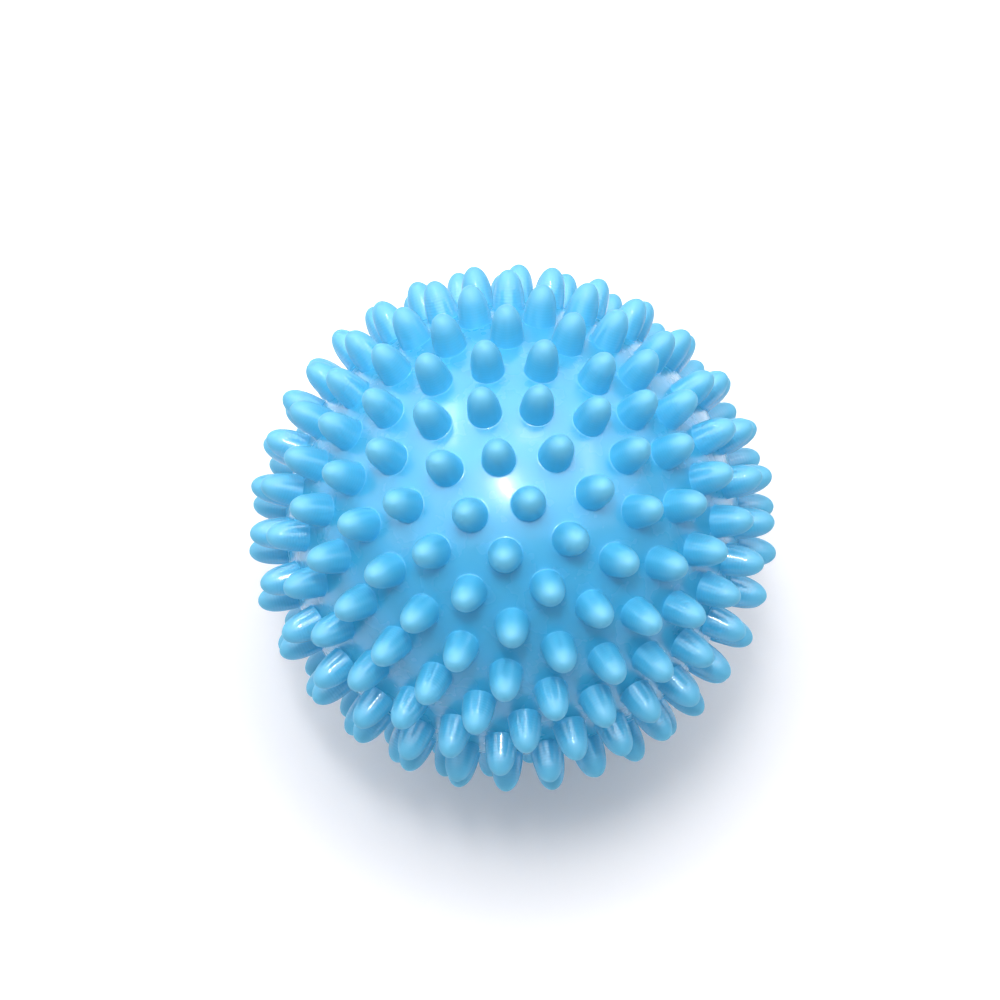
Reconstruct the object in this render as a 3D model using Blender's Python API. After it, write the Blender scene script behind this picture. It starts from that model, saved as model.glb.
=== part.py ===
"""Hollow spiked ball for the washing machine and the dryer, in metres, +Z up.

Two moulded half shells meet at a lapped seam, and an air plug closes the vent at the lower pole.
Each object is modelled in the ball's own frame, with the rings of spikes round its Z axis. An empty
at the ball's centre then leans that frame, so that the ball rests on the ends of three spikes at z = 0.
"""
import itertools
import math

import bmesh
import bpy
import numpy as np
from mathutils import Matrix, Vector
from mathutils.geometry import delaunay_2d_cdt

# Shell
BODY_DIAMETER = 0.0600
SHELL_WALL = 0.0020

# Spikes, each measured from the body's surface outwards
SPIKE_LENGTH = 0.0050
SPIKE_BASE_DIAMETER = 0.0043
SPIKE_SIDE_DRAFT = 0.0004
SPIKE_CROWN_HEIGHT = 0.0011
SPIKE_CROWN_INSET = 0.0008
SPIKE_SPACING = 0.0063

# Where the first spike of each ring stands round the axis, nearest the pole first
RING_START_DEG = (6.0, 21.8, 0.6, 6.7, 3.4, 8.9, 4.5)
LOWER_HALF_TURN_DEG = 137.0

# Seam between the halves, and the fit of the plug
LAP_DEPTH = 0.0016
CLEARANCE = 0.0003

# Air plug
PLUG_HEAD_DIAMETER = 0.0052
PLUG_HEAD_THICKNESS = 0.0007
PLUG_STEM_DIAMETER = 0.0024
PLUG_BARB_OVERHANG = 0.0005
PLUG_BARB_LENGTH = 0.0016
PLUG_TIP_DIAMETER = 0.0014

# How the ball lies: the part of it that faces down, and the way its axis leans
RESTING_POLAR_DEG = 149.3
RESTING_LONGITUDE_DEG = 0.0
LEAN_AZIMUTH_DEG = 14.3
LOW_ENDS_TRIED = 12

# Faceting
SPIKE_SIDES = 6
SEAM_SEGMENTS = 48
PLUG_SEGMENTS = 24
DOME_STEPS = 6
SHARP_EDGE_DEG = 50.0

# Finishes, as linear colours
SHELL_BLUE = (0.13, 0.49, 0.86)
PLUG_BLUE = (0.10, 0.42, 0.78)
SHELL_ROUGHNESS = 0.36
PLUG_ROUGHNESS = 0.45

BODY_RADIUS = BODY_DIAMETER / 2
INNER_RADIUS = BODY_RADIUS - SHELL_WALL
TIP_RADIUS = BODY_RADIUS + SPIKE_LENGTH
SPIKE_BASE_RADIUS = SPIKE_BASE_DIAMETER / 2
SPIKE_SHOULDER_RADIUS = SPIKE_BASE_RADIUS - SPIKE_SIDE_DRAFT
SPIKE_END_RADIUS = SPIKE_SHOULDER_RADIUS - SPIKE_CROWN_INSET
POCKET_RADIUS = PLUG_HEAD_DIAMETER / 2 + CLEARANCE
POCKET_FLOOR = BODY_RADIUS - PLUG_HEAD_THICKNESS - CLEARANCE
VENT_RADIUS = PLUG_STEM_DIAMETER / 2 + CLEARANCE

UPPER, LOWER = 1, -1


def direction(polar, longitude):
    """Unit vector at a polar angle from +Z and a longitude from +X, both in radians."""
    flat = math.sin(polar)
    return np.array([flat * math.cos(longitude), flat * math.sin(longitude), math.cos(polar)])


def rings_per_half():
    """Rings of spikes between a pole and the seam, which lies midway between two rings."""
    quarter = math.pi / 2 * BODY_RADIUS
    return round(quarter / SPIKE_SPACING - 0.5)


def spike_directions(side):
    """Directions of one half's spikes: evenly filled rings, the lower half being the upper one mirrored
    and turned. The upper pole has a spike, and the lower pole leaves its place to the air plug."""
    pitch = math.pi / 2 / (rings_per_half() + 0.5)
    found = [direction(0.0, 0.0)] if side == UPPER else []
    turn = math.radians(LOWER_HALF_TURN_DEG) if side == LOWER else 0.0
    for ring in range(1, rings_per_half() + 1):
        polar = ring * pitch
        count = int(math.tau * math.sin(polar) / pitch)
        start = math.radians(RING_START_DEG[(ring - 1) % len(RING_START_DEG)]) + turn
        for index in range(count):
            found.append(direction(polar, start + math.tau * index / count) * (1, 1, side))
    return found


def resting_spikes(axes):
    """The three spike ends that lie in one plane with every other end behind it, nearest the side
    that faces down, and that plane's outward normal."""
    down = direction(math.radians(RESTING_POLAR_DEG), math.radians(RESTING_LONGITUDE_DEG))
    ends = np.array(axes)
    nearest = np.argsort(-ends @ down)[:LOW_ENDS_TRIED]
    best = None
    for trio in itertools.combinations(nearest, 3):
        first, second, third = ends[list(trio)]
        normal = np.cross(second - first, third - first)
        normal *= math.copysign(1 / np.linalg.norm(normal), normal @ first)
        if (ends @ normal).max() < first @ normal + 1e-9:
            if best is None or normal @ down > best[1] @ down:
                best = trio, normal
    return best


def side_vectors(axis):
    """Two unit vectors across a spike's axis, the first one pointing away from the +Z pole."""
    across = np.cross((0.0, 0.0, 1.0), axis)
    size = np.linalg.norm(across)
    across = across / size if size > 1e-9 else np.array([0.0, 1.0, 0.0])
    return np.cross(across, axis), across


def circle(radius, height, segments):
    """Points round the Z axis at one height."""
    turns = [math.tau * k / segments for k in range(segments)]
    return [(radius * math.cos(t), radius * math.sin(t), height) for t in turns]


def spike_ring(axis, radius, height):
    """Corners of a spike's cross-section, at a height along its axis from the ball's centre."""
    out, across = side_vectors(axis)
    turns = [math.tau * k / SPIKE_SIDES for k in range(SPIKE_SIDES)]
    return [axis * height + radius * (math.cos(t) * out + math.sin(t) * across) for t in turns]


def new_ring(model, points):
    return [model.verts.new(point) for point in points]


def loft(model, rings):
    """Joins closed rings of vertices with bands of faces. A ring of one vertex makes a fan."""
    for lower, upper in itertools.pairwise(rings):
        for k in range(max(len(lower), len(upper))):
            corners = [lower[k % len(lower)], lower[(k + 1) % len(lower)]]
            corners += [upper[(k + 1) % len(upper)], upper[k % len(upper)]]
            model.faces.new(dict.fromkeys(corners))


def skin(model, groups, side):
    """Covers the body's surface between rings of vertices on it, and leaves the rings open.

    Seen from the opposite pole, a half of the sphere is a flat disc, where the best triangles on the
    sphere are those that a plane would have.
    """
    verts = [vert for group in groups for vert in group]
    owner = [number for number, group in enumerate(groups) for _ in group]
    flat = []
    for vert in verts:
        spot = vert.co / vert.co.length
        flat.append(Vector((spot.x, spot.y)) / (1 + side * spot.z))
    edges = []
    first = 0
    for group in groups:
        edges += [(first + k, first + (k + 1) % len(group)) for k in range(len(group))]
        first += len(group)
    _, _, faces, sources, _, _ = delaunay_2d_cdt(flat, edges, [], 0, 1e-7)
    for face in faces:
        corners = [sources[index][0] for index in face]
        if len({owner[corner] for corner in corners}) > 1:
            model.faces.new([verts[corner] for corner in corners])


def add_spike(model, axis, floor):
    """A spike's rings from its base to its end, closed there. A resting spike's end lies on the floor,
    which is given as a plane's normal and its distance from the ball's centre."""
    base_height = math.sqrt(BODY_RADIUS**2 - SPIKE_BASE_RADIUS**2)
    base = new_ring(model, spike_ring(axis, SPIKE_BASE_RADIUS, base_height))
    shoulder = spike_ring(axis, SPIKE_SHOULDER_RADIUS, TIP_RADIUS - SPIKE_CROWN_HEIGHT)
    end = spike_ring(axis, SPIKE_END_RADIUS, TIP_RADIUS)
    if floor is not None:
        normal, distance = floor
        end = [point + axis * (distance - point @ normal) / (axis @ normal) for point in end]
    rings = [base, new_ring(model, shoulder), new_ring(model, end)]
    loft(model, rings)
    model.faces.new(rings[-1])
    return base


def lap(side):
    """The seam's profile from the outer rim to the inner wall, as (radius, height) pairs.

    The upper half ends in a tongue on the inside of the wall, and the lower half in the lip round it.
    """
    middle = BODY_RADIUS - SHELL_WALL / 2
    gap = CLEARANCE / 2
    rim = math.sqrt(BODY_RADIUS**2 - gap**2)
    if side == UPPER:
        tongue = middle - gap
        return [(rim, gap), (tongue, gap), (tongue, -LAP_DEPTH), (INNER_RADIUS, -LAP_DEPTH)]
    lip = middle + gap
    step = -LAP_DEPTH - CLEARANCE
    return [(rim, -gap), (lip, -gap), (lip, step)]


def dome(side):
    """The inner wall's profile from the seam to the upper pole, or to the vent's edge at the lower one."""
    last = math.asin(VENT_RADIUS / INNER_RADIUS) if side == LOWER else 0.0
    step = LAP_DEPTH + CLEARANCE
    first = math.acos(step / INNER_RADIUS) if side == LOWER else math.pi / 2
    polars = np.linspace(first, last, DOME_STEPS + 1)
    return [(INNER_RADIUS * math.sin(polar), side * INNER_RADIUS * math.cos(polar)) for polar in polars]


def half_shell(side, axes, floors):
    """One moulded half: spikes, skin, seam and inner wall, and the lower one's pocket and vent."""
    model = bmesh.new()
    groups = [add_spike(model, axis, floor) for axis, floor in zip(axes, floors)]
    (rim_radius, rim_height), *seam = lap(side)
    rim = new_ring(model, circle(rim_radius, rim_height, SEAM_SEGMENTS))
    groups.append(rim)
    if side == LOWER:
        mouth_height = -math.sqrt(BODY_RADIUS**2 - POCKET_RADIUS**2)
        mouth = new_ring(model, circle(POCKET_RADIUS, mouth_height, SEAM_SEGMENTS))
        groups.append(mouth)
    skin(model, groups, side)
    inside = seam + dome(side)
    if side == UPPER:
        (_, pole_height) = inside.pop()
        rings = [new_ring(model, circle(r, z, SEAM_SEGMENTS)) for r, z in inside]
        rings.append([model.verts.new((0.0, 0.0, pole_height))])
    else:
        inside += [(VENT_RADIUS, -POCKET_FLOOR), (POCKET_RADIUS, -POCKET_FLOOR)]
        rings = [new_ring(model, circle(r, z, SEAM_SEGMENTS)) for r, z in inside]
        rings.append(mouth)
    loft(model, [rim] + rings)
    return model


def air_plug():
    """A turned plug: a flat head in its pocket, a stem through the vent and a barb behind the wall."""
    head_radius = PLUG_HEAD_DIAMETER / 2
    stem_radius = PLUG_STEM_DIAMETER / 2
    face = math.sqrt(BODY_RADIUS**2 - POCKET_RADIUS**2)
    neck = POCKET_FLOOR + CLEARANCE
    barb = math.sqrt(INNER_RADIUS**2 - VENT_RADIUS**2) - CLEARANCE
    profile = [(head_radius, face), (head_radius, neck), (stem_radius, neck), (stem_radius, barb)]
    profile += [(VENT_RADIUS + PLUG_BARB_OVERHANG, barb), (PLUG_TIP_DIAMETER / 2, barb - PLUG_BARB_LENGTH)]
    model = bmesh.new()
    rings = [new_ring(model, circle(radius, -height, PLUG_SEGMENTS)) for radius, height in profile]
    loft(model, rings)
    model.faces.new(rings[0])
    model.faces.new(rings[-1])
    return model


def plastic(name, colour, roughness):
    """A moulded plastic of one colour."""
    material = bpy.data.materials.new(name)
    material.use_nodes = True
    shader = material.node_tree.nodes["Principled BSDF"]
    shader.inputs["Base Color"].default_value = (*colour, 1.0)
    shader.inputs["Roughness"].default_value = roughness
    shader.inputs["Metallic"].default_value = 0.0
    material.diffuse_color = (*colour, 1.0)
    return material


def make_object(name, model, material, parent):
    """Turns a model into a named object under its parent, smooth where it is round."""
    bmesh.ops.recalc_face_normals(model, faces=model.faces)
    mesh = bpy.data.meshes.new(name)
    model.to_mesh(mesh)
    model.free()
    mesh.shade_smooth()
    mesh.set_sharp_from_angle(angle=math.radians(SHARP_EDGE_DEG))
    mesh.materials.append(material)
    ball_part = bpy.data.objects.new(name, mesh)
    ball_part.parent = parent
    bpy.context.scene.collection.objects.link(ball_part)


def resting_turn(down):
    """The rotation that brings a direction of the ball to -Z and leans its axis to the named azimuth."""
    level = Vector(down).rotation_difference(Vector((0.0, 0.0, -1.0))).to_matrix()
    leaning = level @ Vector((0.0, 0.0, 1.0))
    turn = math.radians(LEAN_AZIMUTH_DEG) - math.atan2(leaning.y, leaning.x)
    return Matrix.Rotation(turn, 3, "Z") @ level


def main():
    for old in list(bpy.context.scene.objects):
        bpy.data.objects.remove(old, do_unlink=True)

    upper_axes = spike_directions(UPPER)
    lower_axes = spike_directions(LOWER)
    axes = upper_axes + lower_axes
    trio, down = resting_spikes(axes)
    centre_height = TIP_RADIUS * float(axes[trio[0]] @ down)
    floors = [(down, centre_height) if number in trio else None for number in range(len(axes))]

    centre = bpy.data.objects.new("ball_centre", None)
    centre.location = (0.0, 0.0, centre_height)
    centre.rotation_euler = resting_turn(down).to_euler()
    bpy.context.scene.collection.objects.link(centre)

    upper_half = half_shell(UPPER, upper_axes, floors[: len(upper_axes)])
    lower_half = half_shell(LOWER, lower_axes, floors[len(upper_axes) :])
    make_object("upper_half_shell", upper_half, plastic("upper_pvc", SHELL_BLUE, SHELL_ROUGHNESS), centre)
    make_object("lower_half_shell", lower_half, plastic("lower_pvc", SHELL_BLUE, SHELL_ROUGHNESS), centre)
    make_object("air_plug", air_plug(), plastic("plug_pvc", PLUG_BLUE, PLUG_ROUGHNESS), centre)
    bpy.context.view_layer.update()


main()
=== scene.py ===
import itertools
import math

import bpy
import numpy as np
from mathutils import Matrix, Vector
from mathutils.geometry import delaunay_2d_cdt


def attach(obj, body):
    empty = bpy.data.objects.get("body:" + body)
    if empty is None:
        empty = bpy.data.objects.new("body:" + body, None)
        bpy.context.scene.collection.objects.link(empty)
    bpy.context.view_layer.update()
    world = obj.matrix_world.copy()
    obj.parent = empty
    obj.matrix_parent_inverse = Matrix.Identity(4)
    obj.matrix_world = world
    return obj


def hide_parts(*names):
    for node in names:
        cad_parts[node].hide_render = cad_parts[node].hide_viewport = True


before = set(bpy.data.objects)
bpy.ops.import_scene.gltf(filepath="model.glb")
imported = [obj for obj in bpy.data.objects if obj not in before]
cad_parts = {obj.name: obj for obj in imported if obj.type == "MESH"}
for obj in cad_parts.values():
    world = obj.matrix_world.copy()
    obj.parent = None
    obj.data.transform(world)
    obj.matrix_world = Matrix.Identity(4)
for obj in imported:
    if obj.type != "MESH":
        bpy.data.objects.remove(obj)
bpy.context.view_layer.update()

# Soft spiked ball for the washing machine and the dryer, in metres, +Z up, standing on z = 0.
# Each piece is worked out in the ball's own frame, with the rings of spikes round its Z axis, and is
# then turned and lifted as the ball lies.

UPPER, LOWER = 1, -1

# Body and wall
BODY_RADIUS = 0.0300
WALL = 0.0020
FILL_STEP = 0.0009

# Spikes: nearly straight at the foot and blunt at the tip, with a low flare round the foot
SPIKE_LENGTH = 0.0050
SPIKE_RADIUS = 0.00211
SPIKE_DRAFT = 0.045
SPIKE_FULLNESS = 3.2
FOOT_FLARE = 0.00020
FOOT_CORNER = 0.00002
FLARE_SLOPE_DEG = 25.0
SIDE_LEAN_DEG = 13.5
SPIKE_SIDES = 24
FOOT_STEPS, SPIKE_STEPS = 3, 13

# Rings of spikes: where each ring's first spike stands, nearest the pole first
RING_PITCH_DEG = 12.0
RING_START_DEG = (6.0, 21.8, 0.6, 6.7, 3.4, 8.9, 4.5)
LOWER_HALF_TURN_DEG = 137.0

# Seam, with a tongue inside a lip
SEAM_GAP = 0.000004
SEAM_EDGE = 0.00001
LAP_DEPTH = 0.0016
LAP_CLEARANCE = 0.0003
SEAM_SEGMENTS = 160
DOME_STEPS = 12

# Mesh: steps round an eased corner, the angle that stays sharp, and lengths too small to tell apart
EASE_STEPS = 4
SHARP_EDGE_DEG = 40.0
SAME_SPOT = 1e-7
TINY = 1e-9
LEAST_FACING = 0.5

# Vent and plug
POCKET_RADIUS = 0.00268
POCKET_DEPTH = 0.0010
POCKET_EDGE = 0.00012
VENT_RADIUS = 0.0015
PLUG_HEAD_RADIUS = 0.0026
PLUG_HEAD_THICKNESS = 0.0007
PLUG_EDGE = 0.00018
PLUG_DIMPLE_RADIUS = 0.0007
PLUG_DIMPLE_DEPTH = 0.00018
PLUG_STEM_RADIUS = 0.0012
PLUG_BARB_RADIUS = 0.0020
PLUG_BARB_LENGTH = 0.0016
PLUG_TIP_RADIUS = 0.0007
PLUG_SEGMENTS = 64

# How the ball lies
RESTING_POLAR_DEG = 149.3
RESTING_LONGITUDE_DEG = 0.0
LEAN_AZIMUTH_DEG = 14.3

# Camera
VIEW_AZIMUTH_DEG = 0.03
VIEW_ELEVATION_DEG = 66.44
VIEW_ROLL_DEG = -0.634
VIEW_DISTANCE = 0.315
LENS_MM, SENSOR_MM = 85.3, 36.0
SHIFT_X, SHIFT_Y = -0.0125, 0.0282
CLIP_NEAR, CLIP_FAR = 0.01, 20.0

# Finishes, as linear colours
SHELL_BLUE = (0.052, 0.440, 0.735)
SIDE_BLUE = (0.075, 0.510, 0.800)
# Spike ends: a paler blue than the sides, a painted sheen of the light from above
CAP_PAINTED_SHEEN_BLUE = (0.130, 0.560, 0.850)
PLUG_BLUE = (0.030, 0.390, 0.690)
PVC_IOR, PVC_SPECULAR = 1.5, 0.4
SHELL_COAT_ROUGHNESS, PLUG_COAT_ROUGHNESS = 0.07, 0.15
MICRON = 1e-6

# Marks of every moulded piece: scale and detail of each noise, and the waves' depth in microns
WAVE_SCALE, WAVE_DEPTH, WAVE_DETAIL = 120.0, 40.0, 1.0
RIPPLE_FINER, RIPPLE_SHARE = 4.0, 0.1
CLOUD_SCALE, CLOUD_DETAIL = 90.0, 3.0
WEAR_SCALE, WEAR_DETAIL = 350.0, 2.0
CLOUD_RANGE = (0.3, 0.7)

# Along a spike, as shares of its length over the body: from where to where each finish fades in or out
SPIKE_STARTS = (-0.012, -0.005)
CAP_STARTS = (0.35, 0.95)
SIDE_STARTS = (0.02, 0.10)
SIDE_ENDS = (0.50, 0.85)

# Shell: shades as factors, roughness, coat weight, and the mould rings' depth in microns
TONE_SEED = 7
TONE_SHADE = (0.97, 1.02)
# The rings' shade is painted light and shade: the colour lighter and darker with the grooves
CLOUD_SHADE, RING_PAINTED_SHADE = 0.02, 0.018
SHELL_ROUGHNESS, SPIKE_ROUGHNESS = 0.27, 0.45
CAP_ROUGHER, SIDE_ROUGHER = 0.10, -0.05
WEAR_RANGE, WEAR_ROUGHER = (0.2, 0.8), 0.012
SHELL_COAT = 0.12
COAT_TONES, SIDE_COAT = (0.2, 0.9), (0.22, 0.65)
MOULD_RINGS = 13
RING_TONES, RING_DEPTH = (0.1, 1.0), (2.5, 7.0)

# Plug
PLUG_WAVE_SCALE, PLUG_WAVE_DEPTH = 500.0, 10.0
PLUG_COAT = 0.2
PLUG_SHADE_RANGE, PLUG_SHADE = (0.3, 0.7), (0.94, 1.0)
PLUG_WEAR_RANGE, PLUG_ROUGHNESS = (0.35, 0.7), (0.34, 0.48)

# Table, room and lamps, each lamp as bright as its radiance says
TABLE_HALF_WIDTH = 3.0
TABLE_WHITE = (0.885, 0.86, 0.875)
TABLE_ROUGHNESS, TABLE_SPECULAR = 0.8, 0.2
TABLE_GLOW_NEAR, TABLE_GLOW_FAR = 0.16, 0.90
SHADOW_REACH, WHITE_REACH = 0.030, 0.085
ROOM_WHITE = (0.97, 0.97, 1.0)
ROOM_STRENGTH = 0.33
LAMP_DISTANCE = 0.75


# Shapes

def direction(polar, longitude):
    """Unit vector (sin p cos l, sin p sin l, cos p)."""
    flat = math.sin(polar)
    return np.array([flat * math.cos(longitude), flat * math.sin(longitude), math.cos(polar)])


def ring_directions(polar, count, start):
    """Unit vectors (sin p cos a, sin p sin a, cos p) at count angles a = start + full turn k / count."""
    angle = start + math.tau * np.arange(count) / count
    flat = math.sin(polar)
    return np.stack([flat * np.cos(angle), flat * np.sin(angle), np.full(count, math.cos(polar))], axis=1)


def spike_axes(side):
    """Directions of one half's spikes: rings at every pitch from the pole, each filled as far as it goes.

    The lower half mirrors the upper one in Z and is turned round it. Its pole is left to the plug.
    """
    rings = [np.array([[0.0, 0.0, 1.0]])] if side == UPPER else []
    turn = math.radians(LOWER_HALF_TURN_DEG) if side == LOWER else 0.0
    for number, start in enumerate(RING_START_DEG, 1):
        polar = math.radians(number * RING_PITCH_DEG)
        count = int(360 * math.sin(polar) / RING_PITCH_DEG)
        rings.append(ring_directions(polar, count, math.radians(start) + turn))
    return np.concatenate(rings) * (1, 1, side)


def bezier(start, corner, end, steps):
    """Points (1-t)**2 start + 2t(1-t) corner + t**2 end at even t from 0 to 1, and their directions."""
    t = np.linspace(0, 1, steps + 1)[:, None]
    points = (1 - t) ** 2 * start + 2 * t * (1 - t) * corner + t**2 * end
    along = (1 - t) * (corner - start) + t * (end - corner)
    return points, along / np.linalg.norm(along, axis=1, keepdims=True)


def spike_profile():
    """(radius, height) points and outward normals up a spike, from the body to just under its tip.

    Side and end: (radius / width)**2 + (rise / length)**fullness = 1, where the rise is the height
    over the body and the width is the spike's radius less its draft over that rise. The normal is that
    formula's gradient, but leans up by the side's lean at least, as a plain cone's would, so that light
    draws a straight line along the side. Foot: a Bezier curve that leaves the body along its surface and
    rises to the flare's slope, with a tight corner from there to the side.
    """
    turn = np.linspace(0, math.pi / 2, SPIKE_STEPS + 1)[:-1]
    rise = SPIKE_LENGTH * np.sin(turn) ** (2 / SPIKE_FULLNESS)
    width = SPIKE_RADIUS - SPIKE_DRAFT * rise
    radius = width * np.cos(turn)
    side = np.stack([radius, BODY_RADIUS + rise], axis=1)
    steep = SPIKE_FULLNESS * (rise / SPIKE_LENGTH) ** (SPIKE_FULLNESS - 1) / SPIKE_LENGTH
    steep += 2 * SPIKE_DRAFT * radius**2 / width**3
    lean = np.maximum(np.arctan2(steep, 2 * radius / width**2), math.radians(SIDE_LEAN_DEG))
    side_normals = np.stack([np.cos(lean), np.sin(lean)], axis=1)

    foot_radius = SPIKE_RADIUS + FOOT_FLARE
    foot = np.array([foot_radius, math.sqrt(BODY_RADIUS**2 - foot_radius**2)])
    leave = np.array([-foot[1], foot[0]]) / BODY_RADIUS
    slope = math.radians(FLARE_SLOPE_DEG)
    meet = np.array([-math.cos(slope), math.sin(slope)])
    reach = FOOT_FLARE / -(leave + meet)[0]
    flare, way = bezier(foot, foot + leave * reach, foot + (leave + meet) * reach, FOOT_STEPS)
    flare_normals = np.stack([way[:, 1], -way[:, 0]], axis=1)
    heel = flare[-1:] + (0.0, FOOT_CORNER)
    normals = np.concatenate([flare_normals, side_normals[:1], side_normals])
    return np.concatenate([flare, heel, side]), normals


def spikes(axes, down, floor):
    """Points and normals of every spike: axis height + radius (out cos a + across sin a), as arrays
    (spike, ring, side, 3), and the tips as (spike, 3). What would pass the floor is pushed back to it."""
    profile, slopes = spike_profile()
    across = np.cross((0.0, 0.0, 1.0), axes)
    size = np.linalg.norm(across, axis=1, keepdims=True)
    across = np.where(size > TINY, across / np.maximum(size, TINY), (0.0, 1.0, 0.0))
    out = np.cross(across, axes)
    angle = math.tau * np.arange(SPIKE_SIDES) / SPIKE_SIDES
    spoke = out[:, None] * np.cos(angle)[:, None] + across[:, None] * np.sin(angle)[:, None]
    lift = axes[:, None, None]
    points = lift * profile[:, 1][:, None, None] + spoke[:, None] * profile[:, 0][:, None, None]
    normals = lift * slopes[:, 1][:, None, None] + spoke[:, None] * slopes[:, 0][:, None, None]
    tips = axes * (BODY_RADIUS + SPIKE_LENGTH)
    facing = np.maximum(axes @ down, LEAST_FACING)
    too_far = np.maximum(points @ down - floor, 0)
    points -= lift * (too_far / facing[:, None, None])[..., None]
    normals[too_far > 0] = down
    tips -= axes * (np.maximum(tips @ down - floor, 0) / facing)[:, None]
    return points, normals, tips


def fill_points(side, axes, rim_height):
    """Points of the body between the spikes: a sunflower pattern, in which point k of n lies k golden
    angles round the axis at height 1 - k / n, less those too near a foot, the seam or the vent."""
    count = round(math.tau * BODY_RADIUS**2 / FILL_STEP**2)
    k = np.arange(count) + 0.5
    height = 1 - k / count
    angle = k * math.pi * (3 - math.sqrt(5))
    flat = np.sqrt(1 - height**2)
    points = np.stack([flat * np.cos(angle), flat * np.sin(angle), side * height], axis=1)
    room = FILL_STEP / 2
    keep = (points @ axes.T).max(axis=1) < math.cos((SPIKE_RADIUS + FOOT_FLARE + room) / BODY_RADIUS)
    keep &= height * BODY_RADIUS > rim_height + room
    if side == LOWER:
        keep &= flat * BODY_RADIUS > POCKET_RADIUS + POCKET_EDGE + room
    return points[keep] * BODY_RADIUS


def turned(profile, segments):
    """Points (r cos a, r sin a, z) of a profile turned round Z, as an array (ring, segment, 3)."""
    angle = math.tau * np.arange(segments) / segments
    radius, height = np.asarray(profile).T
    round_ = np.stack([np.cos(angle), np.sin(angle), np.zeros(segments)], axis=1)
    return radius[:, None, None] * round_ + height[:, None, None] * np.array([0.0, 0.0, 1.0])


def eased(start, corners, end):
    """A profile through corners given as (radius, height, reach), each replaced by a Bezier curve that
    starts and ends at that reach from the corner."""
    points = np.array([start] + [corner[:2] for corner in corners] + [end])
    found = [points[:1]]
    for before, (*corner, reach), after in zip(points, corners, points[2:]):
        to_before = (before - corner) / np.linalg.norm(before - corner)
        to_after = (after - corner) / np.linalg.norm(after - corner)
        ends = corner + to_before * reach, corner + to_after * reach
        curve, _ = bezier(ends[0], np.array(corner), ends[1], EASE_STEPS)
        found.append(curve)
    found.append(points[-1:])
    whole = np.concatenate(found)
    keep = np.ones(len(whole), bool)
    keep[1:] = np.linalg.norm(np.diff(whole, axis=0), axis=1) > SAME_SPOT
    return whole[keep]


def inner_profile(side, rim):
    """(radius, height) from the rim on the outside, round the lap and up the inner wall to the pole, or
    on the lower half to the vent, its pocket and the pocket's mouth."""
    gap = SEAM_GAP / 2
    middle = BODY_RADIUS - WALL / 2
    inside = BODY_RADIUS - WALL
    if side == UPPER:
        tongue = middle - LAP_CLEARANCE / 2
        corners = [(BODY_RADIUS, gap, SEAM_EDGE), (tongue, gap, SEAM_EDGE), (tongue, -LAP_DEPTH, SEAM_EDGE)]
        corners += [(inside, -LAP_DEPTH, SEAM_EDGE)]
        lap = eased(rim, corners, (inside, 0.0))
        angle = np.linspace(0, math.pi / 2, DOME_STEPS + 1)[1:-1]
        return np.concatenate([lap, np.stack([np.cos(angle), np.sin(angle)], axis=1) * inside])
    lip = middle + LAP_CLEARANCE / 2
    step = -LAP_DEPTH - LAP_CLEARANCE
    ledge = math.sqrt(inside**2 - step**2)
    corners = [(BODY_RADIUS, -gap, SEAM_EDGE), (lip, -gap, SEAM_EDGE), (lip, step, SEAM_EDGE)]
    lap = eased(rim, corners, (ledge, step))
    angle = np.linspace(math.asin(-step / inside), math.acos(VENT_RADIUS / inside), DOME_STEPS + 1)[1:]
    wall = np.stack([np.cos(angle), -np.sin(angle)], axis=1) * inside
    pocket_floor = -(BODY_RADIUS - POCKET_DEPTH)
    mouth = mouth_ring()
    corners = [(VENT_RADIUS, pocket_floor, POCKET_EDGE), (POCKET_RADIUS, pocket_floor, POCKET_EDGE)]
    corners += [(POCKET_RADIUS, -math.sqrt(BODY_RADIUS**2 - POCKET_RADIUS**2), POCKET_EDGE)]
    vent = eased(wall[-1], corners, mouth)
    return np.concatenate([lap, wall, vent[1:-1]])


def mouth_ring():
    """(radius, height) where the body's surface begins round the pocket."""
    radius = POCKET_RADIUS + POCKET_EDGE
    return radius, -math.sqrt(BODY_RADIUS**2 - radius**2)


# Meshes

def bands(index):
    """Quads between neighbouring rings of an index array (..., ring, place), closed round each ring."""
    after = np.roll(index, -1, axis=-1)
    quads = np.stack([index[..., :-1, :], after[..., :-1, :], after[..., 1:, :], index[..., 1:, :]], axis=-1)
    return quads.reshape(-1, 4)


def fans(ring, tip):
    """Triangles from each ring of an index array (..., place) to its tip."""
    tips = np.broadcast_to(np.asarray(tip)[..., None], ring.shape)
    return np.stack([ring, np.roll(ring, -1, axis=-1), tips], axis=-1).reshape(-1, 3)


def skin_triangles(side, points, owner, rings):
    """Triangles of the body's surface between closed rings of its points, the rings left open.

    Seen from the far pole the half sphere is a flat disc, (x, y) / (1 + |z|), where the best triangles
    on the sphere are those that a plane would have. Each triangle is turned to face outwards.
    """
    unit = points / np.linalg.norm(points, axis=1, keepdims=True)
    flat = unit[:, :2] / (1 + side * unit[:, 2:])
    edges = np.concatenate([np.stack([ring, np.roll(ring, -1)], axis=1) for ring in rings])
    spots = [Vector(spot) for spot in flat]
    _, _, faces, sources, _, _ = delaunay_2d_cdt(spots, edges.tolist(), [], 0, TINY)
    source = np.fromiter(itertools.chain.from_iterable(sources), int)
    faces = source[np.array(faces)]
    held = owner[faces]
    faces = faces[(held[:, 0] != held[:, 1]) | (held[:, 1] != held[:, 2]) | (held[:, 0] < 0)]
    a, b, c = points[faces].transpose(1, 0, 2)
    inward = (np.cross(b - a, c - a) * (a + b + c)).sum(axis=1) < 0
    faces[inward] = faces[inward][:, ::-1]
    return faces


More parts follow.
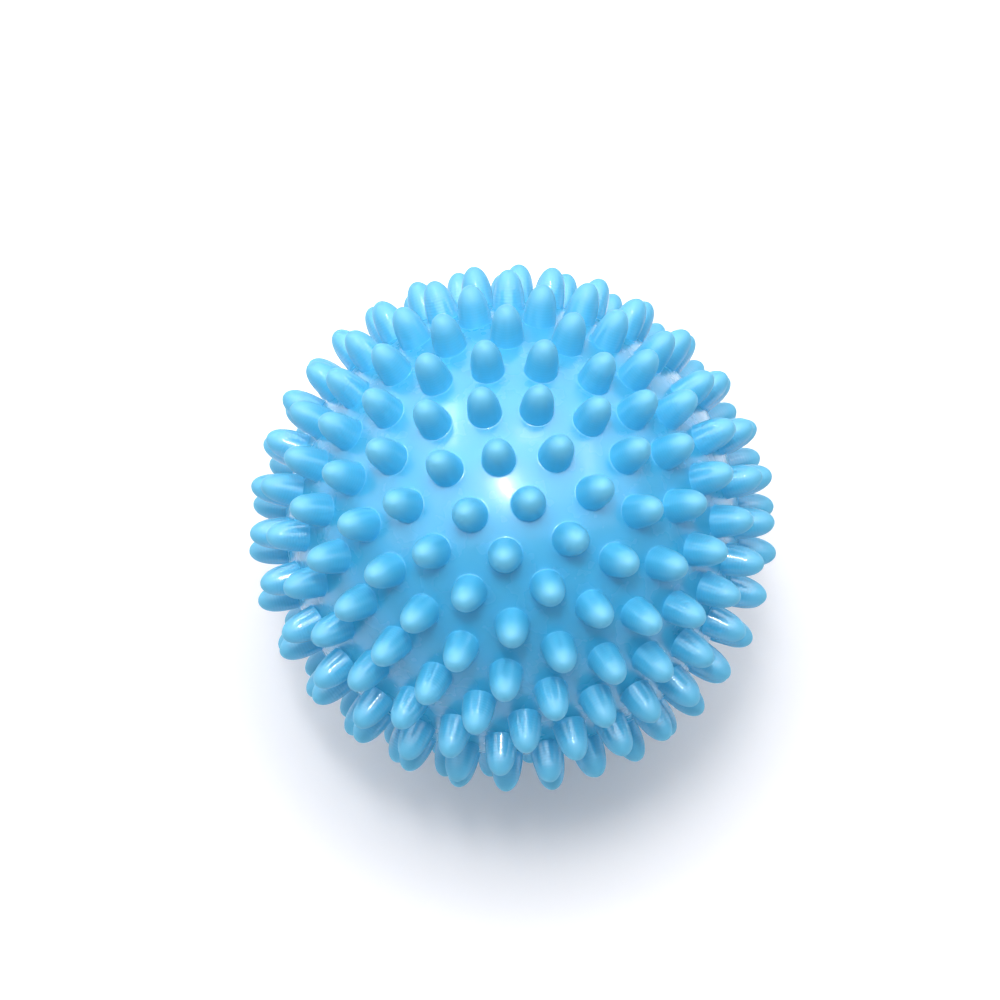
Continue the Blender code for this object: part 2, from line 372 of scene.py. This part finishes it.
def make_piece(name, points, faces, place, normals=None):
    """An object of its own mesh at the origin, its points already turned and lifted into place."""
    turn, lift = place
    mesh = bpy.data.meshes.new(name)
    mesh.from_pydata(points @ turn.T + lift, [], faces)
    mesh.update()
    mesh.shade_smooth()
    mesh.set_sharp_from_angle(angle=math.radians(SHARP_EDGE_DEG))
    if normals is not None:
        mesh.normals_split_custom_set_from_vertices(normals @ turn.T)
    piece = bpy.data.objects.new(name, mesh)
    bpy.context.scene.collection.objects.link(piece)
    return piece


def write_values(piece, name, values):
    """A value for each point of the piece, for its material to read."""
    layer = piece.data.attributes.new(name, "FLOAT", "POINT")
    layer.data.foreach_set("value", values.astype(np.float32))


def half_skin(name, side, axes, down, floor, place):
    """One half of the ball: its spikes and the surface between them, the lap and the inner wall."""
    spike_points, spike_normals, tips = spikes(axes, down, floor)
    count, rings, sides, _ = spike_points.shape
    rim_height = SEAM_GAP / 2 + SEAM_EDGE
    rim = (math.sqrt(BODY_RADIUS**2 - rim_height**2), side * rim_height)
    fill = fill_points(side, axes, rim_height)
    groups = [turned([rim], SEAM_SEGMENTS)[0]]
    if side == LOWER:
        groups.append(turned([mouth_ring()], SEAM_SEGMENTS)[0])
    wall = turned(inner_profile(side, rim)[1:], SEAM_SEGMENTS)

    blocks = [spike_points.reshape(-1, 3), tips, fill, *groups, wall.reshape(-1, 3)]
    if side == UPPER:
        blocks.append(np.array([[0.0, 0.0, BODY_RADIUS - WALL]]))
    starts = np.concatenate([[0], np.cumsum([len(block) for block in blocks])])
    points = np.concatenate(blocks)

    spike_index = np.arange(count * rings * sides).reshape(count, rings, sides)
    tip_index = starts[1] + np.arange(count)
    fill_index = starts[2] + np.arange(len(fill))
    edge_index = starts[3] + np.arange(len(groups) * SEAM_SEGMENTS).reshape(len(groups), -1)
    wall_index = starts[3 + len(groups)] + np.arange(len(wall) * SEAM_SEGMENTS).reshape(len(wall), -1)

    feet = spike_index[:, 0]
    surface = np.concatenate([feet.ravel(), edge_index.ravel(), fill_index])
    edge_owner = np.repeat(count + np.arange(len(groups)), SEAM_SEGMENTS)
    owner = np.concatenate([np.repeat(np.arange(count), sides), edge_owner, np.full(len(fill), -1)])
    foot_rings = np.arange(feet.size).reshape(feet.shape)
    edge_rings = feet.size + np.arange(edge_index.size).reshape(edge_index.shape)
    skin = surface[skin_triangles(side, points[surface], owner, [*foot_rings, *edge_rings])]

    inner_rows = np.concatenate([edge_index[:1], wall_index, edge_index[1:]])
    inner = bands(inner_rows)
    caps = [fans(spike_index[:, -1], tip_index), skin]
    if side == UPPER:
        inner = inner[:, ::-1]
        caps.append(fans(wall_index[-1], starts[-2])[:, ::-1])
    quads = np.concatenate([bands(spike_index), inner])
    triangles = np.concatenate(caps)

    normals = np.zeros_like(points)
    normals[: starts[1]] = spike_normals.reshape(-1, 3)
    normals[starts[1] : starts[2]] = axes
    normals[starts[2] : starts[3 + len(groups)]] = points[starts[2] : starts[3 + len(groups)]] / BODY_RADIUS
    piece = make_piece(name, points, quads.tolist() + triangles.tolist(), place, normals)

    rise = (spike_profile()[0][:, 1] - BODY_RADIUS) / SPIKE_LENGTH
    along = np.full(len(points), rise[0])
    along[: starts[1]] = np.tile(np.repeat(rise, sides), count)
    along[starts[1] : starts[2]] = 1.0
    write_values(piece, "along", along)
    tone = np.random.default_rng(TONE_SEED + side).random(count)
    spike_tone = np.full(len(points), 0.5)
    spike_tone[: starts[1]] = np.repeat(tone, rings * sides)
    spike_tone[starts[1] : starts[2]] = tone
    write_values(piece, "spike_tone", spike_tone)
    return piece


def vent_plug(place):
    """A turned plug: a head with an eased edge and a small dimple, a stem and a barb behind the wall."""
    face = math.sqrt(BODY_RADIUS**2 - PLUG_HEAD_RADIUS**2)
    crown = BODY_RADIUS - PLUG_DIMPLE_DEPTH
    under = BODY_RADIUS - POCKET_DEPTH + (POCKET_DEPTH - PLUG_HEAD_THICKNESS) / 2
    barb = BODY_RADIUS - WALL - LAP_CLEARANCE
    corners = [
        (PLUG_DIMPLE_RADIUS / 2, crown - PLUG_DIMPLE_DEPTH, PLUG_DIMPLE_RADIUS / 4),
        (PLUG_DIMPLE_RADIUS, crown, PLUG_DIMPLE_RADIUS / 4),
        (PLUG_HEAD_RADIUS, face, PLUG_EDGE),
        (PLUG_HEAD_RADIUS, under, PLUG_EDGE / 2),
        (PLUG_STEM_RADIUS, under, PLUG_EDGE / 2),
        (PLUG_STEM_RADIUS, barb, PLUG_EDGE / 2),
        (PLUG_BARB_RADIUS, barb, PLUG_EDGE),
        (PLUG_TIP_RADIUS, barb - PLUG_BARB_LENGTH, PLUG_EDGE),
    ]
    start = (PLUG_DIMPLE_RADIUS / 8, crown - PLUG_DIMPLE_DEPTH)
    end = (PLUG_TIP_RADIUS / 8, barb - PLUG_BARB_LENGTH)
    profile = eased(start, corners, end) * (1, -1)
    rings = turned(profile, PLUG_SEGMENTS)
    points = np.concatenate([rings.reshape(-1, 3), [[0.0, 0.0, profile[0, 1]], [0.0, 0.0, profile[-1, 1]]]])
    index = np.arange(len(profile) * PLUG_SEGMENTS).reshape(len(profile), PLUG_SEGMENTS)
    quads = bands(index)
    face_fan = fans(index[0], len(points) - 2)[:, ::-1]
    tip_fan = fans(index[-1], len(points) - 1)
    return make_piece("vent_plug", points, quads.tolist() + face_fan.tolist() + tip_fan.tolist(), place)


# How the ball lies

def resting_plane(axes):
    """The plane through the three spike ends nearest the side that faces down: its outward normal and
    its distance from the ball's centre."""
    down = direction(math.radians(RESTING_POLAR_DEG), math.radians(RESTING_LONGITUDE_DEG))
    first, second, third = axes[np.argsort(-axes @ down)[:3]]
    normal = np.cross(second - first, third - first)
    normal *= math.copysign(1 / np.linalg.norm(normal), normal @ first)
    return normal, (BODY_RADIUS + SPIKE_LENGTH) * float(first @ normal)


def resting_place(down, floor):
    """The turn that brings down to -Z and leans the ring axis to its azimuth, and the lift to the table."""
    level = Vector(down).rotation_difference(Vector((0.0, 0.0, -1.0))).to_matrix()
    leaning = level @ Vector((0.0, 0.0, 1.0))
    turn = math.radians(LEAN_AZIMUTH_DEG) - math.atan2(leaning.y, leaning.x)
    return np.array(Matrix.Rotation(turn, 3, "Z") @ level), np.array([0.0, 0.0, floor])


# Finishes

def new_node(tree, kind, inputs=(), **settings):
    """A node with its settings, and its inputs set to values or joined to sockets."""
    node = tree.nodes.new(kind)
    for name, value in settings.items():
        setattr(node, name, value)
    for name, value in dict(inputs).items():
        if isinstance(value, bpy.types.NodeSocket):
            tree.links.new(value, node.inputs[name])
        else:
            node.inputs[name].default_value = value
    return node


def maths(tree, operation, *values):
    """A Math node's output, for up to three numbers or sockets."""
    return new_node(tree, "ShaderNodeMath", dict(enumerate(values)), operation=operation).outputs[0]


def spread(tree, value, low, high, to_low, to_high, kind="SMOOTHSTEP"):
    """value taken from low..high to to_low..to_high."""
    inputs = {"Value": value, "From Min": low, "From Max": high, "To Min": to_low, "To Max": to_high}
    return new_node(tree, "ShaderNodeMapRange", inputs, interpolation_type=kind).outputs["Result"]


def noise(tree, spot, scale, detail):
    """Soft noise from 0 to 1 at a place."""
    inputs = {"Vector": spot, "Scale": scale, "Detail": detail}
    return new_node(tree, "ShaderNodeTexNoise", inputs).outputs["Fac"]


def moulded_skin_group():
    """Marks that every moulded piece has: slow waviness of a given depth in microns, with a finer wave
    a tenth as deep, cloudy colour and worn patches."""
    group = bpy.data.node_groups.new("moulded_skin", "ShaderNodeTree")
    for name, default in (("Wave Scale", WAVE_SCALE), ("Wave Depth", WAVE_DEPTH)):
        socket = group.interface.new_socket(name, in_out="INPUT", socket_type="NodeSocketFloat")
        socket.default_value = default
    for name in ("Height", "Cloud", "Wear"):
        group.interface.new_socket(name, in_out="OUTPUT", socket_type="NodeSocketFloat")
    given = group.nodes.new("NodeGroupInput").outputs
    made = group.nodes.new("NodeGroupOutput").inputs
    spot = group.nodes.new("ShaderNodeTexCoord").outputs["Object"]
    slow = noise(group, spot, given["Wave Scale"], WAVE_DETAIL)
    finer = maths(group, "MULTIPLY", given["Wave Scale"], RIPPLE_FINER)
    quick = noise(group, spot, finer, WAVE_DETAIL)
    wave = maths(group, "ADD", slow, maths(group, "MULTIPLY", quick, RIPPLE_SHARE))
    group.links.new(maths(group, "MULTIPLY", wave, given["Wave Depth"]), made["Height"])
    group.links.new(noise(group, spot, CLOUD_SCALE, CLOUD_DETAIL), made["Cloud"])
    group.links.new(noise(group, spot, WEAR_SCALE, WEAR_DETAIL), made["Wear"])
    return group


def pvc(name, coat_roughness):
    """A new material with the Principled shader of a soft moulded PVC, its top skin as smooth as given."""
    material = bpy.data.materials.new(name)
    material.use_nodes = True
    shader = material.node_tree.nodes["Principled BSDF"]
    shader.inputs["IOR"].default_value = PVC_IOR
    shader.inputs["Specular IOR Level"].default_value = PVC_SPECULAR
    shader.inputs["Coat Roughness"].default_value = coat_roughness
    return material, material.node_tree, shader


def bumped(tree, microns):
    """The normal of a surface raised by a height in microns."""
    inputs = {"Height": microns, "Strength": 1.0, "Distance": MICRON}
    return new_node(tree, "ShaderNodeBump", inputs).outputs[0]


def tinted(tree, colour, amount):
    """A colour multiplied by a grey amount."""
    inputs = {"Red": amount, "Green": amount, "Blue": amount}
    grey = new_node(tree, "ShaderNodeCombineColor", inputs).outputs[0]
    mix = new_node(tree, "ShaderNodeMix", data_type="RGBA", blend_type="MULTIPLY")
    mix.inputs["Factor"].default_value = 1.0
    tree.links.new(colour, mix.inputs["A"])
    tree.links.new(grey, mix.inputs["B"])
    return mix.outputs["Result"]


def blended(tree, factor, first, second):
    """first at factor 0 to second at factor 1, each a plain colour or a socket."""
    mix = new_node(tree, "ShaderNodeMix", {"Factor": factor}, data_type="RGBA")
    for name, colour in (("A", first), ("B", second)):
        if isinstance(colour, tuple):
            mix.inputs[name].default_value = (*colour, 1.0)
        else:
            tree.links.new(colour, mix.inputs[name])
    return mix.outputs["Result"]


def shell_pvc(skin_marks):
    """Sky-blue soft PVC: glossy between the spikes, with satin spikes whose ends are painted paler, a
    painted sheen of the light from above, and whose sides carry the fine rings of their turned mould,
    as bumps and as painted light and shade in the colour."""
    material, tree, shader = pvc("shell_pvc", SHELL_COAT_ROUGHNESS)
    along = new_node(tree, "ShaderNodeAttribute", attribute_name="along").outputs["Fac"]
    tone = new_node(tree, "ShaderNodeAttribute", attribute_name="spike_tone").outputs["Fac"]
    marks = new_node(tree, "ShaderNodeGroup", node_tree=skin_marks).outputs
    on_spike = spread(tree, along, *SPIKE_STARTS, 0.0, 1.0)
    on_cap = spread(tree, along, *CAP_STARTS, 0.0, 1.0)
    on_side = maths(tree, "MULTIPLY", spread(tree, along, *SIDE_STARTS, 0.0, 1.0),
                    spread(tree, along, *SIDE_ENDS, 1.0, 0.0))

    turn = maths(tree, "MULTIPLY", along, MOULD_RINGS * math.tau)
    groove = maths(tree, "MULTIPLY", maths(tree, "SINE", turn), on_side)

    # Spike ends blend to a paler blue: a painted sheen of the light from above
    colour = blended(tree, on_cap, blended(tree, on_spike, SHELL_BLUE, SIDE_BLUE), CAP_PAINTED_SHEEN_BLUE)
    shade = maths(tree, "ADD", spread(tree, tone, 0.0, 1.0, *TONE_SHADE, "LINEAR"),
                  spread(tree, marks["Cloud"], *CLOUD_RANGE, -CLOUD_SHADE, CLOUD_SHADE))
    # Painted light and shade: the mould rings drawn lighter and darker in the colour, as on lit grooves
    shade = maths(tree, "ADD", shade, maths(tree, "MULTIPLY", groove, RING_PAINTED_SHADE))
    tree.links.new(tinted(tree, colour, shade), shader.inputs["Base Color"])

    rougher = maths(tree, "ADD", maths(tree, "MULTIPLY", on_cap, CAP_ROUGHER),
                    maths(tree, "MULTIPLY", on_side, SIDE_ROUGHER))
    satin = maths(tree, "ADD", spread(tree, on_spike, 0.0, 1.0, SHELL_ROUGHNESS, SPIKE_ROUGHNESS), rougher)
    worn = spread(tree, marks["Wear"], *WEAR_RANGE, -WEAR_ROUGHER, WEAR_ROUGHER)
    tree.links.new(maths(tree, "ADD", satin, worn), shader.inputs["Roughness"])
    bare = maths(tree, "SUBTRACT", 1.0, on_spike)
    side_coat = maths(tree, "MULTIPLY", on_side, spread(tree, tone, *COAT_TONES, *SIDE_COAT))
    coat = maths(tree, "ADD", side_coat, maths(tree, "MULTIPLY", bare, SHELL_COAT))
    tree.links.new(coat, shader.inputs["Coat Weight"])

    fine = maths(tree, "MULTIPLY", groove, spread(tree, tone, *RING_TONES, *RING_DEPTH))
    tree.links.new(bumped(tree, maths(tree, "ADD", marks["Height"], fine)), shader.inputs["Normal"])
    return material


def plug_pvc(skin_marks):
    """The plug's slightly deeper blue PVC, more worn than the shell."""
    material, tree, shader = pvc("plug_pvc", PLUG_COAT_ROUGHNESS)
    shader.inputs["Coat Weight"].default_value = PLUG_COAT
    waves = {"Wave Scale": PLUG_WAVE_SCALE, "Wave Depth": PLUG_WAVE_DEPTH}
    marks = new_node(tree, "ShaderNodeGroup", waves, node_tree=skin_marks).outputs
    colour = blended(tree, spread(tree, marks["Cloud"], *CLOUD_RANGE, 0.0, 1.0), PLUG_BLUE, SHELL_BLUE)
    shade = spread(tree, marks["Wear"], *PLUG_SHADE_RANGE, *PLUG_SHADE)
    tree.links.new(tinted(tree, colour, shade), shader.inputs["Base Color"])
    rough = spread(tree, marks["Wear"], *PLUG_WEAR_RANGE, *PLUG_ROUGHNESS)
    tree.links.new(rough, shader.inputs["Roughness"])
    tree.links.new(bumped(tree, marks["Height"]), shader.inputs["Normal"])
    return material


# Table, light and camera

def seen_ray(tree):
    """1 for rays from the camera, a mirror or a glass, 0 for those that only carry light."""
    path = tree.nodes.new("ShaderNodeLightPath")
    seen = maths(tree, "MAXIMUM", path.outputs["Is Camera Ray"], path.outputs["Is Glossy Ray"])
    return maths(tree, "MAXIMUM", seen, path.outputs["Is Transmission Ray"])


def table_top():
    """A wide pale table, with white added for rays that see it, more of it further from the ball, so
    that the shadow ends in plain white."""
    size = TABLE_HALF_WIDTH
    corners = [(-size, -size, 0), (size, -size, 0), (size, size, 0), (-size, size, 0)]
    mesh = bpy.data.meshes.new("table_top")
    mesh.from_pydata(corners, [], [(0, 1, 2, 3)])
    table = bpy.data.objects.new("table_top", mesh)
    bpy.context.scene.collection.objects.link(table)
    material = bpy.data.materials.new("table_white")
    material.use_nodes = True
    tree = material.node_tree
    shader = tree.nodes["Principled BSDF"]
    shader.inputs["Base Color"].default_value = (*TABLE_WHITE, 1.0)
    shader.inputs["Roughness"].default_value = TABLE_ROUGHNESS
    shader.inputs["Specular IOR Level"].default_value = TABLE_SPECULAR
    shader.inputs["Emission Color"].default_value = (1.0, 1.0, 1.0, 1.0)
    spot = tree.nodes.new("ShaderNodeTexCoord").outputs["Object"]
    away = new_node(tree, "ShaderNodeVectorMath", {0: spot}, operation="LENGTH").outputs["Value"]
    glow = spread(tree, away, SHADOW_REACH, WHITE_REACH, TABLE_GLOW_NEAR, TABLE_GLOW_FAR)
    tree.links.new(maths(tree, "MULTIPLY", seen_ray(tree), glow), shader.inputs["Emission Strength"])
    mesh.materials.append(material)


def room():
    """Even pale light from all round, and plain white where it is seen."""
    world = bpy.data.worlds.new("pale_room")
    bpy.context.scene.world = world
    world.use_nodes = True
    tree = world.node_tree
    tree.nodes.clear()
    light = new_node(tree, "ShaderNodeBackground", {"Color": (*ROOM_WHITE, 1.0), "Strength": ROOM_STRENGTH})
    white = new_node(tree, "ShaderNodeBackground", {"Color": (1.0, 1.0, 1.0, 1.0), "Strength": 1.0})
    mix = tree.nodes.new("ShaderNodeMixShader")
    tree.links.new(seen_ray(tree), mix.inputs[0])
    tree.links.new(light.outputs[0], mix.inputs[1])
    tree.links.new(white.outputs[0], mix.inputs[2])
    output = tree.nodes.new("ShaderNodeOutputWorld")
    tree.links.new(mix.outputs[0], output.inputs["Surface"])


def place_lamp(name, data, middle, along):
    """Puts a lamp at a place over the ball's centre, facing it, its own Y axis along the given way."""
    back = middle.normalized()
    up = (along - back * along.dot(back)).normalized()
    turn = Matrix((up.cross(back), up, back)).transposed().to_4x4()
    holder = bpy.data.objects.new(name, data)
    holder.matrix_world = Matrix.Translation(middle + Vector((0, 0, BODY_RADIUS + SPIKE_LENGTH))) @ turn
    holder.visible_camera = False
    bpy.context.scene.collection.objects.link(holder)
    return holder


def panel(name, start, end, width, radiance, gloss_only=False):
    """A soft flat panel whose middle line runs from one direction to another, seen from the ball."""
    first, last = (Vector(way).normalized() * LAMP_DISTANCE for way in (start, end))
    data = bpy.data.lights.new(name, "AREA")
    data.shape = "RECTANGLE"
    data.size = width
    data.size_y = (last - first).length
    data.energy = math.pi * radiance * width * data.size_y
    holder = place_lamp(name, data, (first + last) / 2, last - first)
    holder.visible_diffuse = not gloss_only


def camera(centre_height):
    """The photograph's view of the ball: its direction, roll, lens and framing."""
    turn = Matrix.Rotation(math.radians(VIEW_AZIMUTH_DEG), 4, "Z")
    turn @= Matrix.Rotation(math.radians(90 - VIEW_ELEVATION_DEG), 4, "X")
    turn @= Matrix.Rotation(math.radians(VIEW_ROLL_DEG), 4, "Z")
    data = bpy.data.cameras.new("camera")
    data.lens = LENS_MM
    data.sensor_width = SENSOR_MM
    data.shift_x = SHIFT_X
    data.shift_y = SHIFT_Y
    data.clip_start = CLIP_NEAR
    data.clip_end = CLIP_FAR
    view = bpy.data.objects.new("camera", data)
    centre = Matrix.Translation((0, 0, centre_height))
    view.matrix_world = centre @ turn @ Matrix.Translation((0, 0, VIEW_DISTANCE))
    bpy.context.scene.collection.objects.link(view)
    bpy.context.scene.camera = view


def dress(piece, node, material):
    """Rides a piece on the ball in place of its plain solid, and gives it its finish."""
    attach(piece, "root")
    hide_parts(node)
    piece.data.materials.append(material)


upper_axes = spike_axes(UPPER)
lower_axes = spike_axes(LOWER)
down, floor = resting_plane(np.concatenate([upper_axes, lower_axes]))
place = resting_place(down, floor)
camera(floor)

skin_marks = moulded_skin_group()
shell_finish = shell_pvc(skin_marks)
upper_skin = half_skin("upper_skin", UPPER, upper_axes, down, floor, place)
lower_skin = half_skin("lower_skin", LOWER, lower_axes, down, floor, place)
dress(upper_skin, "upper_half_shell", shell_finish)
dress(lower_skin, "lower_half_shell", shell_finish)
dress(vent_plug(place), "air_plug", plug_pvc(skin_marks))

table_top()
room()

# Each panel: the first and last direction of its middle line, its width in metres and its radiance
panel("key_lamp", (-0.10, 0.04, 0.99), (0.007, -0.16, 0.985), 0.066, 34.5)
panel("key_glint", (-0.085, -0.03, 0.995), (-0.035, -0.115, 0.990), 0.055, 48.0, gloss_only=True)
panel("key_tail", (-0.10, 0.07, 0.99), (0.015, -0.20, 0.98), 0.030, 70.0, gloss_only=True)
panel("soft_panel", (-0.05, -0.22, 0.975), (-0.09, 0.70, 0.70), 1.00, 1.64)
panel("wide_sheen", (-0.05, -0.50, 0.86), (-0.09, 0.95, 0.20), 2.20, 3.2, gloss_only=True)
panel("left_strip", (-0.40, 0.66, 0.63), (-0.45, 0.32, 0.83), 0.06, 22.0, gloss_only=True)
panel("middle_strip", (0.12, 0.44, 0.89), (0.14, 0.32, 0.93), 0.14, 11.0, gloss_only=True)
panel("right_strip", (0.52, 0.46, 0.72), (0.60, 0.07, 0.80), 0.07, 8.0, gloss_only=True)

bpy.context.scene.view_settings.view_transform = "Standard"
